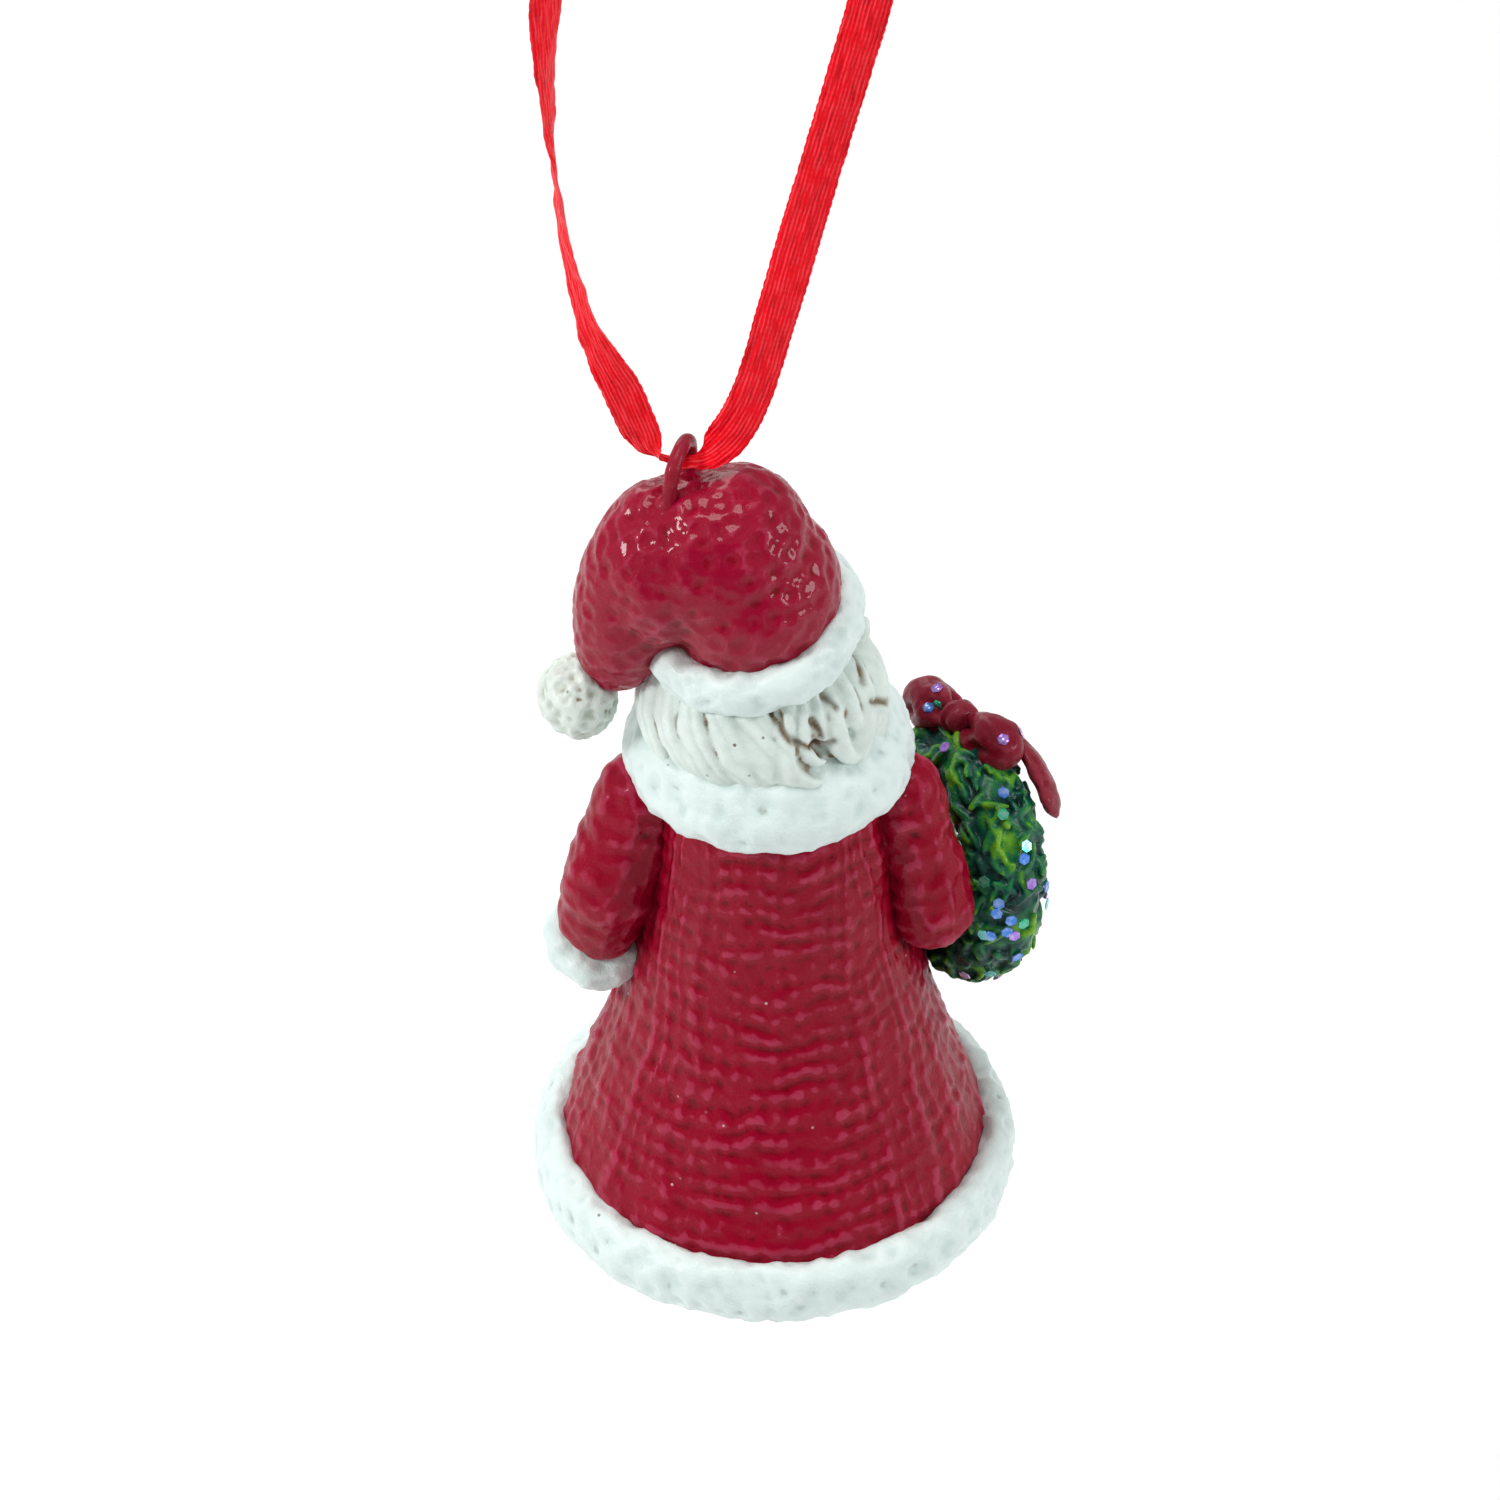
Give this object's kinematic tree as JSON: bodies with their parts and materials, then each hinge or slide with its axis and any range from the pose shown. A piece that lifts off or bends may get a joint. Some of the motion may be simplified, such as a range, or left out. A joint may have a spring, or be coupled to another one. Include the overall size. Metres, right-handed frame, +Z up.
{
  "type": "christmas bell ornament",
  "caption": "Hanging bell ornament: a hollow robed, bearded figure in a floppy hat with a wreath on one arm, a clapper inside and a ribbon loop.",
  "frame": {"origin": "inside the top of the ribbon loop, just under its knot, where a hook carries the ornament", "axes": "+Z up along the height; the figure faces -Y; its right hand and the wreath are towards -X"},
  "size_m": [0.0431, 0.04, 0.163],
  "materials": {
    "ribbon": "bright red woven satin",
    "hat_red": "crimson gloss paint on dimpled resin",
    "coat_red": "crimson gloss paint on knit-textured resin",
    "fur_white": "cool white paint on hammered resin",
    "hair_white": "white paint with brown antiquing in the grooves",
    "skin": "painted resin, satin",
    "mitten_green": "dark green paint",
    "wreath_green": "dark green paint dry-brushed with lime, glitter flakes",
    "bow_red": "dull crimson paint with a few glitter flakes",
    "eye_red": "wire painted red",
    "clapper_steel": "bright bent wire",
    "clapper_brass": "turned ball"
  },
  "bodies": {
    "ribbon_loop": {"hanging_ribbon": "ribbon", "ribbon_knot": "ribbon", "ribbon_end_left": "ribbon", "ribbon_end_right": "ribbon"},
    "bell_figure": {"hat": "hat_red", "robe_bell": "coat_red", "left_sleeve": "coat_red", "right_sleeve": "coat_red", "hem_band": "fur_white", "front_trim": "fur_white", "fur_collar": "fur_white", "hat_brim": "fur_white", "pom_pom": "fur_white", "left_cuff": "fur_white", "right_cuff": "fur_white", "hair": "hair_white", "beard": "hair_white", "moustache": "hair_white", "head": "skin", "left_mitten": "mitten_green", "right_mitten": "mitten_green", "wreath": "wreath_green", "bow_knot": "bow_red", "bow_loop_back": "bow_red", "bow_loop_front": "bow_red", "bow_tail_back": "bow_red", "bow_tail_front": "bow_red", "hanger_eye": "eye_red", "clapper_staple": "clapper_steel"},
    "clapper_link": {"clapper_link": "clapper_steel"},
    "clapper": {"clapper_wire": "clapper_steel", "clapper_ball": "clapper_brass"}
  },
  "joints": [
    {"name": "figure_swing", "type": "hinge", "parent": "ribbon_loop", "child": "bell_figure", "pos_m": [0.00265, 0, -0.0769], "axis": [1, 0, 0], "range_deg": [-40, 40]},
    {"name": "link_swing", "type": "hinge", "parent": "bell_figure", "child": "clapper_link", "pos_m": [-0.0044, 0.0007, -0.1136], "axis": [1, 0, 0], "range_deg": [-14, 14]},
    {"name": "clapper_swing", "type": "hinge", "parent": "clapper_link", "child": "clapper", "pos_m": [-0.0044, 0.0007, -0.11627], "axis": [0, 1, 0], "range_deg": [-14, 14]}
  ]
}
